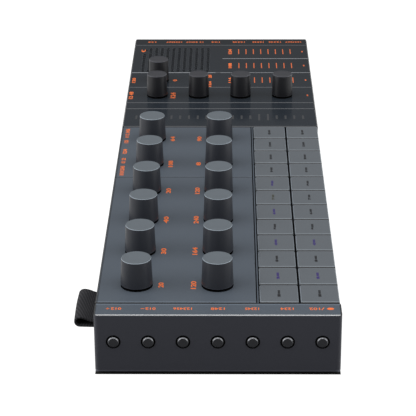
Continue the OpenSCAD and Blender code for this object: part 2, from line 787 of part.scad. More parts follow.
// Round speaker hung under the grille
module speaker() {
    r = speaker_d / 2;
    z = inner_top_z - seat;
    color("#26272a") translate([speaker_x, speaker_y, 0]) rotate_extrude() polygon([
        [0, z - speaker_h], [r * 0.55, z - speaker_h], [r * 0.55, z - 3.5], [r - 2, z - 1.6],
        [r, z - 1.6], [r, z], [r - 1.6, z], [r * 0.4, z - 2.2], [0, z - 2.6]]);
}

// Folded strap of webbing: out of the slot, round and back in
module strap() {
    color("#18191a") along_x(strap_x, strap_x + strap_w) translate([0, strap_z]) difference() {
        strap_drop_shape(0);
        strap_drop_shape(strap_t);
    }
}

// Outline of the loop in Y and Z, moved inwards by the depth in: flat below,
// full and round at the outer end and narrow inside the slot
module strap_drop_shape(in) {
    r_out = strap_h / 2;
    r_in = strap_ply_h / 2;
    y_in = back_y - wall_t - strap_in + r_in;
    y_out = back_y + strap_reach - r_out;
    foot = -r_out;
    polygon([[y_in, foot + in], [y_out, foot + in], [y_out, r_out - in],
        [back_y + 0.3, foot + strap_ply_h - in], [y_in, foot + strap_ply_h - in]]);
    translate([y_out, 0]) circle(r_out - in);
    translate([y_in, foot + r_in]) circle(r_in - in);
}

// ---------------------------------------------------------------- nodes

// Puts the machine where the origin lies under the middle of its whole box
module place() {
    translate([0, mid_y, 0]) children();
}

place() top_case();
place() bottom_cover();
place() track_panel();
place() effect_panel();
place() circuit_board();
place() battery();
place() speaker();
place() strap();
place() feet();
place() cover_screws();
place() power_switch();
place() right_end_buttons();
for (i = [0 : len(LEFT_BUTTONS) - 1])
    place() left_button(i);
for (i = [0 : len(track_knobs) - 1])
    place() track_knob(i);
for (i = [0 : len(effect_knobs) - 1])
    place() effect_knob(i);
for (j = [0 : KEY_LINES - 1]) for (i = [0 : KEY_COLUMNS - 1])
    place() step_key(i, j);
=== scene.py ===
"""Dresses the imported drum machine: knob caps, markings, a woven strap, finishes and a plain studio."""

import math

import bmesh
import bpy
from bpy.props import FloatProperty, FloatVectorProperty, IntProperty, PointerProperty
from mathutils import Matrix, Vector

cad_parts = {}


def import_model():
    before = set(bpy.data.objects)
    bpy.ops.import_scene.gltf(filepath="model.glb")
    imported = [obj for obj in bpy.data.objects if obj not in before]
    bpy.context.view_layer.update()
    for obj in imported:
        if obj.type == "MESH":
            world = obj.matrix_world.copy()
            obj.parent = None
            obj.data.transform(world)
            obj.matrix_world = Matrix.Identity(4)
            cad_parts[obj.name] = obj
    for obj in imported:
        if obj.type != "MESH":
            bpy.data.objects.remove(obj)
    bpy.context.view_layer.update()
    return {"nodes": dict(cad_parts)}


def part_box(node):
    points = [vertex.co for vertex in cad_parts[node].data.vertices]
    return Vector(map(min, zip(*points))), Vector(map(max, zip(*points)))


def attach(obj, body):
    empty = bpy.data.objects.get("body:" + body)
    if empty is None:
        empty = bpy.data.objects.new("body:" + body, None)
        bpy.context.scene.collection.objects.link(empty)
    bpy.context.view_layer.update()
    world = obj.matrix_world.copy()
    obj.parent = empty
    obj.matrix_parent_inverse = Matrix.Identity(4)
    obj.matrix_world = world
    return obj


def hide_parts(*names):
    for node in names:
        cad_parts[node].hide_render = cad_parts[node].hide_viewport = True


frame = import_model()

bl_info = {
    "name": "Drum machine dressing",
    "version": (1, 0, 0),
    "blender": (4, 5, 0),
    "location": "3D View > Sidebar > Drum machine",
    "description": "Adds caps, markings, a woven strap and finishes to the packed drum machine",
    "category": "Object",
}

MM = 0.001
UP = Vector((0, 0, 1))
NODES = frame["nodes"]


def low(node):
    """Lowest corner of a CAD node."""
    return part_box(node)[0]


def high(node):
    """Highest corner of a CAD node."""
    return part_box(node)[1]


def number(node):
    """The number at the end of a node's name."""
    return int(node.split("_")[-1])


def centre(node):
    """Middle of a CAD node's box."""
    return (low(node) + high(node)) / 2


LEFT_X = low("top_case").x
RIGHT_X = high("top_case").x
FRONT_Y = low("top_case").y
BACK_Y = high("top_case").y
MID_Y = (FRONT_Y + BACK_Y) / 2
DECK_Z = high("track_panel").z
EFFECT_Z = high("effect_panel").z
KEY_Z = high("step_key_1").z
KEY_PITCH = low("step_key_2").x - low("step_key_1").x
KEYS_X = low("step_key_1").x - 0.3 * MM    # half a gap before the first key
HALF_LENGTH = (RIGHT_X - LEFT_X) / 2
HALF_DEPTH = (BACK_Y - FRONT_Y) / 2
MID_X = (LEFT_X + RIGHT_X) / 2

# Places along the machine, in mm from the left end
LEFT_STRIP = 5.5                        # middle of the left strip
LANES = (320.4, 296.6, 272.9, 249.2)    # printed middles of the four lanes
LAMPS = 217.0                           # row of level lamps
DARK_FROM = 255.0                       # the panel is coloured darker from here on
GRILLE_START, GRILLE_END = 285.1, 327.5
LANE_LINE = 308.5                       # groove between the two farthest lanes
STRIP_LINE = 332.0                      # groove before the right strip
RIGHT_STRIP = 337.4                     # middle of the right strip

# Round parts, in mm
HOLE_R, HOLE_RIM = 1.0, 0.1
HOLE_ROW, HOLE_COLUMN, HOLES = 3.4, 3.2, 12
FIRST_HOLE = GRILLE_START + 2.6, -42.2    # along and across the machine
BUTTON_DROP, BUTTON_RING, BUTTON_HOLE = 11.8, 2.90, 2.50

BLACK = (0, 0, 0)

# How a marking reads: its right and its up
ALONG = (1, 0, 0), (0, 1, 0)
ACROSS = (0, 1, 0), (-1, 0, 0)

TRACK_KNOBS = sorted(n for n in NODES if n.startswith("track_knob_"))
EFFECT_KNOBS = sorted(n for n in NODES if n.startswith("effect_knob_"))
STEP_KEYS = sorted((n for n in NODES if n.startswith("step_key_")), key=number)
LEFT_BUTTONS = [
    "volume_up_button", "volume_down_button", "delete_button", "mute_button",
    "solo_button", "page_button", "play_button",
]


def top_middle(node):
    """Middle of the top of a CAD node's box."""
    return Vector((centre(node).x, centre(node).y, high(node).z))


def place(along, across, z):
    """A point: mm from the left end, mm from the middle towards the player, and a height in metres."""
    return Vector((LEFT_X + along * MM, MID_Y - across * MM, z))


# ---------------------------------------------------------------- sizes and colours


def colour_setting(name, what, value):
    """A colour in the sidebar."""
    return FloatVectorProperty(name=name, description="Colour of " + what, default=value, size=3,
                               subtype="COLOR")


def length_setting(name, what, value):
    """A length in the sidebar, in metres."""
    return FloatProperty(name=name, description=what, default=value, unit="LENGTH")


def angle_setting(name, what, degrees):
    """An angle in the sidebar, given in degrees."""
    return FloatProperty(name=name, description=what, default=math.radians(degrees), subtype="ANGLE")


def number_setting(name, what, value, **kind):
    """A strength, a power or a share in the sidebar."""
    return FloatProperty(name=name, description=what, default=value, **kind)


class StageSettings(bpy.types.PropertyGroup):
    """The camera, the light and the floor."""

    lens: FloatProperty(name="Lens", description="Focal length of the camera", default=150.67, min=20,
                        unit="CAMERA")
    camera_ahead: length_setting("Camera distance", "Distance of the camera before the left end", 0.60304)
    camera_aside: length_setting("Camera offset", "Distance of the camera from the middle, to the player",
                                 0.00384)
    camera_up: length_setting("Camera height", "Height of the camera above the deck", 0.3093)
    pitch: angle_setting("Tilt", "Angle of the camera below the horizon", 23.63)
    yaw: angle_setting("Turn", "Angle of the camera towards the back", 0.707)
    roll: angle_setting("Roll", "Lean of the camera", -0.256)
    world: number_setting("Room light", "Strength of the even light of the room", 0.30)
    key: number_setting("Main light", "Power of the softbox overhead", 8.5, unit="POWER")
    left: number_setting("Left light", "Strength of the soft light from the back", 2.0)
    right: number_setting("Right light", "Strength of the soft light from the player", 1.5)
    floor: colour_setting("Floor", "the floor", (0.12, 0.12, 0.12))
    # painted light: the floor paper glows and lights the machine
    glow: number_setting("Floor glow", "Light that shines up through the floor paper", 0.85)
    front_glow: number_setting("Glow in front", "Share of that light 0.3 m before the left end", 0.40,
                               subtype="FACTOR")


class CaseSettings(bpy.types.PropertyGroup):
    """Colours of the case and its panels."""

    deck: colour_setting("Deck", "the deck", (0.069, 0.084, 0.104))
    walls: colour_setting("Walls", "the walls", (0.042, 0.044, 0.055))
    edge: colour_setting("Cut edge", "the bright edge of the left end", (0.40, 0.405, 0.41))
    panel: colour_setting("Effect panel", "the glossy panel", (0.0180, 0.0226, 0.0290))
    cover: colour_setting("Cover", "the bottom cover", (0.055, 0.056, 0.060))


class ControlSettings(bpy.types.PropertyGroup):
    """Colours and details of the knobs, keys and buttons."""

    key: colour_setting("Step keys", "the step keys", (0.092, 0.104, 0.117))
    knob: colour_setting("Track knobs", "the track knobs", (0.0225, 0.0250, 0.0320))
    knob_top: colour_setting("Knob tops", "the tops of the track knobs", (0.104, 0.121, 0.137))
    effect_knob: colour_setting("Effect knobs", "the effect knobs", (0.0095, 0.0099, 0.0122))
    effect_knob_top: colour_setting("Effect knob tops", "the tops of the effect knobs",
                                    (0.034, 0.035, 0.041))
    button: colour_setting("Buttons", "the end buttons", (0.022, 0.023, 0.027))
    rim: length_setting("Rim", "Width of the bevel round a knob's top", 0.00025)
    facets: IntProperty(name="Facets", description="Faces round a knob", default=96, min=24)


class MarkingSettings(bpy.types.PropertyGroup):
    """Printed numbers and signs."""

    ink: colour_setting("Ink", "the printed markings", (0.78, 0.16, 0.035))
    violet: colour_setting("Violet ink", "some marks on the keys", (0.030, 0.014, 0.125))
    burnt: colour_setting("Burnt ink", "the thin lines on the effect panel", (0.60, 0.125, 0.035))
    dark: colour_setting("Dark ink", "the other marks on the keys", (0.008, 0.008, 0.010))
    height: length_setting("Digit height", "Height of the printed digits", 0.0022)
    lift: length_setting("Ink thickness", "Height of the ink above its surface", 0.00002)


class StrapSettings(bpy.types.PropertyGroup):
    """The woven strap."""

    colour: colour_setting("Webbing", "the strap", (0.026, 0.026, 0.029))
    thickness: length_setting("Thickness", "Thickness of the webbing", 0.0009)
    yarn: length_setting("Yarn", "Width of a yarn of the webbing", 0.00090)


# ---------------------------------------------------------------- finishes


class Wire:
    """One output of a node; arithmetic on it adds Math nodes."""

    def __init__(self, paint, socket):
        self.paint, self.socket = paint, socket

    def _math(self, operation, *values, **settings):
        values = dict(enumerate(values))
        return self.paint.node("ShaderNodeMath", dict(settings, operation=operation), values)

    def __add__(self, other):
        return self._math("ADD", self, other)

    def __radd__(self, other):
        return self._math("ADD", other, self)

    def __sub__(self, other):
        return self._math("SUBTRACT", self, other)

    def __rsub__(self, other):
        return self._math("SUBTRACT", other, self)

    def __mul__(self, other):
        return self._math("MULTIPLY", self, other)

    def __truediv__(self, other):
        return self._math("DIVIDE", self, other)

    def __mod__(self, other):
        return self._math("FLOORED_MODULO", self, other)

    def __gt__(self, other):
        return self._math("GREATER_THAN", self, other)

    def __lt__(self, other):
        return self._math("LESS_THAN", self, other)

    def __abs__(self):
        return self._math("ABSOLUTE", self)

    def sine(self):
        return self._math("SINE", self)

    def floor(self):
        return self._math("FLOOR", self)

    def clamped(self):
        return self._math("ADD", self, 0.0, use_clamp=True)


class Paint:
    """A node material. Fixed values go straight onto its shader's sockets."""

    def __init__(self, name, **fixed):
        self.material = bpy.data.materials.new(name)
        self.material.use_nodes = True
        self.tree = self.material.node_tree
        self.tree.nodes.clear()
        self.shader = self.tree.nodes.new("ShaderNodeBsdfPrincipled")
        out = self.tree.nodes.new("ShaderNodeOutputMaterial")
        self.tree.links.new(self.shader.outputs[0], out.inputs["Surface"])
        for socket, value in fixed.items():
            self.shader.inputs[socket.replace("_", " ")].default_value = value

    def node(self, kind, settings=None, sockets=None, out=0):
        """Adds a node, sets it up and returns one of its outputs."""
        new = self.tree.nodes.new(kind)
        for name, value in (settings or {}).items():
            setattr(new, name, value)
        for name, value in (sockets or {}).items():
            self.put(new.inputs[name], value)
        return Wire(self, new.outputs[out])

    def put(self, socket, value):
        """Links a wire to a socket, or sets a plain value."""
        if isinstance(value, Wire):
            self.tree.links.new(value.socket, socket)
        elif socket.type == "RGBA":
            socket.default_value = (*value, 1)
        else:
            socket.default_value = value

    def feed(self, **links):
        """Links wires to the shader's sockets."""
        for name, value in links.items():
            self.put(self.shader.inputs[name.replace("_", " ")], value)
        return self.material

    def coords(self):
        """Object coordinates."""
        return self.node("ShaderNodeTexCoord", out="Object")

    def axis(self, letter):
        """One object coordinate, in metres."""
        return self.node("ShaderNodeSeparateXYZ", sockets={0: self.coords()}, out=letter)

    def noise(self, size, detail=3.0, rough=0.55, stretch=(1, 1, 1)):
        """Noise from 0 to 1 whose grains are about size metres."""
        mapped = self.node("ShaderNodeMapping", sockets={"Vector": self.coords(), "Scale": stretch})
        return self.node("ShaderNodeTexNoise", sockets={
            "Vector": mapped, "Scale": 1 / size, "Detail": detail, "Roughness": rough})

    def mix(self, factor, first, second):
        """A blend of two colours."""
        return self.node("ShaderNodeMix", {"data_type": "RGBA"}, {0: factor, 6: first, 7: second}, out=2)

    def tint(self, colour, wire, amount):
        """The colour, lighter and darker by amount as wire goes from 0 to 1."""
        return self.mix(wire.clamped(), scaled(colour, 1 - amount), scaled(colour, 1 + amount))

    def bump(self, height, depth):
        """A normal bent by a height from 0 to 1 that stands for depth metres."""
        return self.node("ShaderNodeBump", sockets={"Strength": 1.0, "Distance": depth, "Height": height})


def scaled(colour, share):
    """A colour made lighter or darker."""
    return tuple(c * share for c in colour)


def deck_finish(settings):
    """Fine powder coat with faint mottling; its rim and near shoulder are painted lighter as a highlight,
    its back edge painted darker as shade, and its sunken sides in the joints painted dark as shade.
    """
    paint = Paint("deck_coat", IOR=1.5, Specular_IOR_Level=0.35)
    fine = paint.noise(0.0003, 2)
    broad = paint.noise(0.03, 3)
    z = paint.axis("Z")
    deep = z < (DECK_Z - 0.10 * MM)
    shoulder = paint.axis("X") < (low("track_panel").x + 1.0 * MM)
    # painted highlight: the rim just under the top and the near shoulder are coloured 1.6 times lighter
    rim = ((z < (DECK_Z - 0.01 * MM)) + shoulder).clamped() * (1 - deep)
    coat = paint.tint(settings.deck, fine * 0.55 + broad * 0.45, 0.06)
    edged = paint.mix(rim, coat, scaled(settings.deck, 1.6))
    across = paint.axis("Y")
    # painted shade: the deck is darkened along its back edge
    edged = paint.mix((across > (BACK_Y - 1.0 * MM)) * 0.55, edged, BLACK)
    # painted shade: the sunken sides in the joints are coloured almost black, less dark by the keys
    by_keys = across < (low("track_panel").y + 1.0 * MM)
    joint_shade = paint.mix(by_keys, scaled(settings.deck, 0.03), scaled(settings.deck, 0.25))
    return paint.feed(Base_Color=paint.mix(deep, edged, joint_shade),
                      Roughness=0.42 + fine * 0.16, Normal=paint.bump(fine, 0.00001))


def moulded(name, colour, roughness=0.45, grain=0.00025, mottle=0.05, coat=0.0):
    """Moulded plastic with a spark-eroded grain."""
    paint = Paint(name, IOR=1.48, Coat_Weight=coat, Coat_Roughness=0.12)
    fine = paint.noise(grain, 2.5)
    broad = paint.noise(0.012, 2)
    return paint.feed(Base_Color=paint.tint(colour, fine * 0.4 + broad * 0.6, mottle),
                      Roughness=roughness - 0.06 + fine * 0.12, Normal=paint.bump(fine, grain * 0.05))


def case_finish(settings):
    """Coated case: grey deck, darker walls and a bright cut edge at the left end; the lower edge is painted
    lighter as floor light, the inside, the long side bevels and the top by the keys are painted dark as
    shade, and a strip before the keys is painted lighter as a glint.
    """
    paint = Paint("case_coat", IOR=1.5, Specular_IOR_Level=0.30)
    fine = paint.noise(0.0003, 2)
    broad = paint.noise(0.04, 3)
    x, y, z = (paint.axis(a) for a in "XYZ")
    top = z > (DECK_Z - 0.03 * MM)
    cut = (z > (DECK_Z - 0.27 * MM)) * (1 - top) * (x < (LEFT_X + 0.55 * MM))
    # painted shade: the bevels along the long sides are darkened towards black
    side = (z > (DECK_Z - 0.52 * MM)) * (abs(y - MID_Y) > (HALF_DEPTH - 0.75 * MM)) * (1 - cut)
    # painted shade: the top by the keys is coloured black; painted highlight: the strip before it is
    # coloured lighter
    seam_shade = top * (x > (KEYS_X - 0.50 * MM)) * (x < (KEYS_X + 0.1 * MM))
    glint = top * (x > (KEYS_X - 1.5 * MM)) * (x < (KEYS_X - 0.50 * MM))
    grain = fine * 0.55 + broad * 0.45
    wall = 2.1 * MM
    inside = (x > (LEFT_X + wall)) * (y > (FRONT_Y + wall)) * (y < (BACK_Y - wall))
    # painted shade: the inside of the case is darkened towards black
    walls = paint.mix(inside * 0.80, paint.tint(settings.walls, grain, 0.07), BLACK)
    # painted light: the lower edge of the outer walls is coloured 2.4 times lighter, as if lit by the floor
    lower_edge = (z < (low("top_case").z + 1.0 * MM)) * (1 - inside)
    walls = paint.mix(lower_edge, walls, scaled(settings.walls, 2.4))
    coat = paint.mix(top, walls, paint.tint(settings.deck, grain, 0.06))
    coat = paint.mix((side * (0.97 - top * 0.42) + seam_shade).clamped(), coat, BLACK)
    coat = paint.mix(glint, coat, scaled(settings.deck, 1.5))
    colours = paint.mix(cut, coat, paint.tint(settings.edge, fine, 0.05))
    return paint.feed(Base_Color=colours, Metallic=cut,
                      Roughness=0.44 + fine * (1 - cut) * 0.14 - cut * 0.10,
                      Normal=paint.bump(fine * (1 - cut), 0.00001))


def panel_finish(settings):
    """Glossy black plastic with faint smears and a soft ripple, coloured darker towards the far end; its
    metallic groove walls catch the light and are also painted light grey as highlights, and its outer
    edges, near edge and hole walls are painted almost black as shade.
    """
    paint = Paint("gloss_panel", IOR=1.5, Specular_IOR_Level=0.08)
    smears = paint.noise(0.018, 4, 0.6, (1.4, 0.8, 1))
    ripple = paint.noise(0.004, 1)
    dust = (paint.noise(0.0006, 1) > 0.77) * 0.12
    x, y, z = (paint.axis(a) for a in "XYZ")
    sunk = (z < (EFFECT_Z - 0.03 * MM)) * (z > (EFFECT_Z - 0.52 * MM))

    def before(across):
        """On the player's side of a line, in mm from the middle."""
        return y < place(0, across, 0).y

    def along(start):
        """In the groove whose middle lies start mm from the left end."""
        return abs(x - place(start, 0, 0).x) < 0.6 * MM

    # painted highlight: the groove walls along these lines are coloured lighter
    split = (1 - before(0)) * before(-2.8)
    bright = along(GRILLE_START) * (0.55 + (1 - before(-2.8)) * 0.45) * (1 - split)
    bright = bright + along(LANE_LINE) * before(-1.1) * 0.70
    # painted shade: the outer edges, the near edge and the walls of the holes are coloured almost black
    outer = (abs(y - MID_Y) > (HALF_DEPTH - 0.55 * MM)) + (x > (RIGHT_X - 0.55 * MM))
    near = x < (low("effect_panel").x + 0.6 * MM)
    holes = (x > place(GRILLE_START + 1.0, 0, 0).x) * (x < place(GRILLE_END, 0, 0).x) * (1 - before(-3.5))
    grooves = paint.mix(bright.clamped(), (0.060, 0.062, 0.066), (0.150, 0.156, 0.166))
    sides = paint.mix((outer * 0.92 + near * 0.3 + holes).clamped(), grooves, (0.001, 0.001, 0.001))
    far = x > place(STRIP_LINE, 0, 0).x
    deeper = ((x - place(DARK_FROM, 0, 0).x) / (60 * MM)).clamped() * 0.40
    gloss = paint.tint(settings.panel, smears, 0.12)
    face = paint.mix((far * 0.3 + deeper).clamped(), gloss, (0.006, 0.007, 0.009))
    return paint.feed(Base_Color=paint.mix(sunk, face, sides), Metallic=sunk * (1 - holes),
                      Roughness=0.13 + smears * 0.07 + dust * (1 - sunk) + sunk * 0.12,
                      Normal=paint.bump(ripple * (1 - sunk), 0.000004))


def knob_finish(name, side, top, foot_z, top_z):
    """Satin plastic: a lighter, finely scratched top and smooth dark sides; a band just under the top's
    edge and a band at the foot are painted lighter as highlights.
    """
    paint = Paint(name, IOR=1.5, Specular_IOR_Level=0.3)
    z = paint.axis("Z")
    # painted highlight: a band just under the top's edge is coloured much lighter
    rim = (z > (top_z - 0.26 * MM)) * (z < (top_z - 0.075 * MM))
    # painted highlight: a band at the foot is coloured lighter
    lip = z < (foot_z + 0.3 * MM)
    crown = ((z - (top_z - 0.27 * MM)) / (0.02 * MM)).clamped()
    fine = paint.noise(0.00022, 2.5)
    broad = paint.noise(0.006, 2)
    scratches = paint.noise(0.0018, 3, 0.6, (4, 1, 1))
    grain = fine * 0.5 + broad * 0.5
    body = paint.mix(lip, paint.tint(side, grain, 0.08), scaled(side, 1.9))
    faces = paint.mix(crown, body, paint.tint(top, scratches * 0.6 + fine * 0.4, 0.10))
    colours = paint.mix(rim, faces, tuple(min(0.55, c * 3.6) for c in top))
    return paint.feed(Base_Color=colours, Roughness=0.36 + fine * 0.10 + scratches * crown * 0.08,
                      Normal=paint.bump(fine * 0.6 + scratches * crown * 0.4, 0.000008))


def key_finish(settings):
    """Satin key plastic: an evenly grained face whose near rim, and faintly its far rim, are painted
    lighter as highlights, over sides painted lighter at the key's ends as lit faces and almost black
    elsewhere as shade.
    """
    paint = Paint("key_plastic", IOR=1.48)
    z = paint.axis("Z")
    fine = paint.noise(0.00022, 2.5)
    broad = paint.noise(0.012, 2)
    face = z > (KEY_Z - 0.14 * MM)
    along = (paint.axis("X") - KEYS_X) % KEY_PITCH
    # painted highlight: the face's near rim, and faintly its far rim, are coloured lighter
    far_rim = (z < (KEY_Z - 0.03 * MM)) + (along > (KEY_PITCH - 1.1 * MM))
    rim = face * (along < 1.15 * MM) + face * far_rim * 0.35
    top = paint.tint(settings.key, fine * 0.4 + broad * 0.6, 0.06)
    colours = paint.mix(rim.clamped(), top, scaled(settings.key, 1.75))
    # painted light and shade: the sides are coloured lighter at the ends of each key and almost black
    # elsewhere
    end = ((along < 0.75 * MM) + (along > (KEY_PITCH - 0.75 * MM))).clamped()
    sides = paint.mix(end, scaled(settings.key, 2.2), scaled(settings.key, 0.02))
    return paint.feed(Base_Color=paint.mix(face, sides, colours),
                      Roughness=0.40 + fine * 0.12, Normal=paint.bump(fine, 0.0000125))


def ink_finish(name, colour, roughness=0.55):
    """Screen-printed ink with slightly uneven cover."""
    paint = Paint(name, IOR=1.45)
    cover = paint.noise(0.0002, 2)
    return paint.feed(Base_Color=paint.tint(colour, cover, 0.10), Roughness=roughness - 0.05 + cover * 0.1)


def metal_finish(name, colour, roughness=0.3):
    """Plated metal with fine scratches."""
    paint = Paint(name, Metallic=1.0)
    lines = paint.noise(0.0004, 3, 0.6, (1, 12, 1))
    return paint.feed(Base_Color=paint.tint(colour, lines, 0.08), Roughness=roughness - 0.06 + lines * 0.12,
                      Normal=paint.bump(lines, 0.000003))


def board_finish(name):
    """Green solder mask, dark plastic parts, and plated shells where sockets meet the back wall."""
    paint = Paint(name, IOR=1.5)
    x, y, z = (paint.axis(a) for a in "XYZ")
    board_top = low("step_key_1").z - 3.0 * MM
    track = abs(((x * 900 + (y * 260).floor() * 0.37) % 1.0) - 0.5) < 0.12
    mask = paint.mix(track * 0.5, (0.010, 0.055, 0.026), (0.006, 0.032, 0.016))
    in_board = (z > (board_top - 1.9 * MM)) * (z < (board_top + 0.1 * MM))
    below = z < (board_top - 1.9 * MM)
    shells = below * (y > (BACK_Y - 4.0 * MM))
    parts = paint.tint((0.030, 0.030, 0.033), paint.noise(0.002), 0.2)
    plated = paint.tint((0.62, 0.60, 0.56), paint.noise(0.0006), 0.12)
    plain = paint.mix(in_board, parts, mask)
    return paint.feed(Base_Color=paint.mix(shells, plain, plated), Metallic=shells,
                      Roughness=0.42 - shells * 0.14)


def rubber_finish(name):
    """Matt rubber with a fine dusty grain."""
    paint = Paint(name, IOR=1.5)
    fine = paint.noise(0.0004, 3)
    return paint.feed(Base_Color=paint.tint((0.022, 0.022, 0.023), fine, 0.25),
                      Roughness=0.72 + fine * 0.16, Normal=paint.bump(fine, 0.00002))


def button_finish(settings):
    """Satin button plastic whose rim is polished; the part sunk in the case end is painted almost black as
    shade.
    """
    paint = Paint("button_plastic", IOR=1.5, Specular_IOR_Level=0.5)
    fine = paint.noise(0.0002, 2.5)
    out = abs(paint.axis("X") - MID_X) - HALF_LENGTH
    rim = (out > 0.32 * MM) * (out < 0.68 * MM)
    # painted shade: the part within the case end is coloured almost black
    sunk = out < 0.02 * MM
    plain = paint.mix(sunk, paint.tint(settings.button, fine, 0.08), (0.0008, 0.0008, 0.001))
    colours = paint.mix(rim, plain, (0.17, 0.175, 0.185))
    return paint.feed(Base_Color=colours, Metallic=rim * 0.8, Roughness=0.34 + fine * 0.10 - rim * 0.06,
                      Normal=paint.bump(fine * (1 - rim), 0.00001))


def shade_black_finish(name):
    """Near-black matt surface with a fuzzy grain, for dark rings that are painted shade."""
    paint = Paint(name, Specular_IOR_Level=0.05, Roughness=0.95)
    fuzz = paint.noise(0.0003, 3)
    return paint.feed(Base_Color=paint.tint((0.0022, 0.0022, 0.0024), fuzz, 0.4),
                      Normal=paint.bump(fuzz, 0.00003))


def weave_finish(settings):
    """Twilled webbing: the yarns follow the piece's own U across the strap and V along it, in metres."""
    paint = Paint("webbing", IOR=1.45, Specular_IOR_Level=0.12, Sheen_Weight=0.04, Sheen_Roughness=0.4)
    uv = paint.node("ShaderNodeUVMap", {"uv_map": "ribbon"})
    u = paint.node("ShaderNodeSeparateXYZ", sockets={0: uv}, out="X")
    v = paint.node("ShaderNodeSeparateXYZ", sockets={0: uv}, out="Y")
    step = settings.yarn
    twill = ((u / (step * 4) + v / (step * 1.3)) * math.tau).sine() * 0.5 + 0.5
    rib = ((u / (step * 0.5)) * math.pi).sine()
    height = abs(rib) * 0.3 + twill * 0.7
    fuzz = paint.noise(0.00015, 3)
    shade = twill * 0.55 + abs(rib) * 0.2 + fuzz * 0.25
    return paint.feed(Base_Color=paint.tint(settings.colour, shade, 0.75), Roughness=0.66 + fuzz * 0.2,
                      Normal=paint.bump(height * 0.85 + fuzz * 0.15, 0.00012))


def wear(objects, material):
    """Gives a material to every slot of some objects."""
    for obj in objects:
        obj.data.materials.clear()
        obj.data.materials.append(material)


# ---------------------------------------------------------------- shapes


def finish_piece(bm, name, body, slot, material, smooth_angle=math.radians(40)):
    """Turns a bmesh into a piece that rides on a body."""
    bmesh.ops.remove_doubles(bm, verts=bm.verts, dist=0.5e-6)
    bmesh.ops.recalc_face_normals(bm, faces=bm.faces)
    return sheet_piece(bm, name, body, slot, material, smooth_angle)


def sheet_piece(bm, name, body, slot, material, smooth_angle=math.radians(40)):
    """The same for faces that already point the right way."""
    for face in bm.faces:
        face.smooth = True
    mesh = bpy.data.meshes.new(name)
    bm.to_mesh(mesh)
    bm.free()
    mesh.set_sharp_from_angle(angle=smooth_angle)
    mesh.materials.append(material)
    obj = bpy.data.objects.new(name, mesh)
    bpy.context.scene.collection.objects.link(obj)
    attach(obj, body)
    return obj


def facing(middle, axis):
    """A matrix that moves flat work to a point and turns its face along an axis."""
    return Matrix.Translation(middle) @ UP.rotation_difference(axis).to_matrix().to_4x4()


def turned(bm, profile, axis_point, facets, closed=False):
    """Adds a body of revolution from (radius, height) pairs.

    The pairs start and end on the axis, or close a ring.
    """
    verts = [bm.verts.new(axis_point + Vector((r, 0, h))) for r, h in profile]
    pairs = list(zip(verts, verts[1:] + verts[:1] if closed else verts[1:]))
    edges = [bm.edges.new(pair) for pair in pairs]
    bmesh.ops.spin(bm, geom=verts + edges, cent=axis_point, axis=UP, angle=math.tau, steps=facets,
                   use_merge=True, use_duplicate=False)


def ring_face(bm, middle, outer, inner, facets=32, axis=UP):
    """Adds a flat ring that faces along an axis."""
    rings = [bmesh.ops.create_circle(bm, segments=facets, radius=r, matrix=facing(middle, axis))["verts"]
             for r in (outer, inner)]
    edges = list({e for ring in rings for v in ring for e in v.link_edges})
    bmesh.ops.bridge_loops(bm, edges=edges)


class Print:
    """Printed markings that become one piece: digits, bars, dots, ovals and signs on flat surfaces."""

    def __init__(self, lift):
        self.bm = bmesh.new()
        self.lift = lift

    def frame(self, point, right, up):
        """A matrix that puts flat artwork at a point, with its own right and up."""
        right, up = Vector(right).normalized(), Vector(up).normalized()
        out = right.cross(up)
        spin = Matrix((right, up, out)).transposed().to_4x4()
        return Matrix.Translation(Vector(point) + out * self.lift) @ spin

    def digits(self, words, point, right, up, height, weight=0.02, length=None):
        """Adds text of plain digits and signs, centred on the point."""
        curve = bpy.data.curves.new("digits", "FONT")
        curve.body, curve.size, curve.offset = words, 1.0, weight
        curve.align_x, curve.align_y = "CENTER", "CENTER"
        curve.resolution_u = 3
        obj = bpy.data.objects.new("digits", curve)
        mesh = bpy.data.meshes.new_from_object(obj)
        if mesh.vertices:
            xs = [v.co.x for v in mesh.vertices]
            ys = [v.co.y for v in mesh.vertices]
            mid = Vector(((max(xs) + min(xs)) / 2, (max(ys) + min(ys)) / 2, 0))
            scale_y = height / (max(ys) - min(ys))
            scale_x = length / (max(xs) - min(xs)) if length else scale_y
            mesh.transform(Matrix.Diagonal((scale_x, scale_y, 1, 1)) @ Matrix.Translation(-mid))
            mesh.transform(self.frame(point, right, up))
            self.bm.from_mesh(mesh)
        bpy.data.objects.remove(obj)
        bpy.data.curves.remove(curve)
        bpy.data.meshes.remove(mesh)

    def bar(self, point, right, up, length, width):
        """Adds a plain bar."""
        shape = self.frame(point, right, up) @ Matrix.Diagonal((length, width, 1, 1))
        bmesh.ops.create_grid(self.bm, x_segments=1, y_segments=1, size=0.5, matrix=shape)

    def dot(self, point, right, up, radius):
        """Adds a filled circle."""
        bmesh.ops.create_circle(self.bm, cap_ends=True, segments=20, radius=radius,
                                matrix=self.frame(point, right, up))

    def oval(self, point, right, up, length, width):
        """Adds a filled oval."""
        shape = self.frame(point, right, up) @ Matrix.Diagonal((length, width, 1, 1))
        bmesh.ops.create_circle(self.bm, cap_ends=True, segments=28, radius=0.5, matrix=shape)

    def piece(self, name, body, material):
        """Makes the marks one piece; material is a slot's name and a finish."""
        return sheet_piece(self.bm, name, body, *material)


# ---------------------------------------------------------------- operators


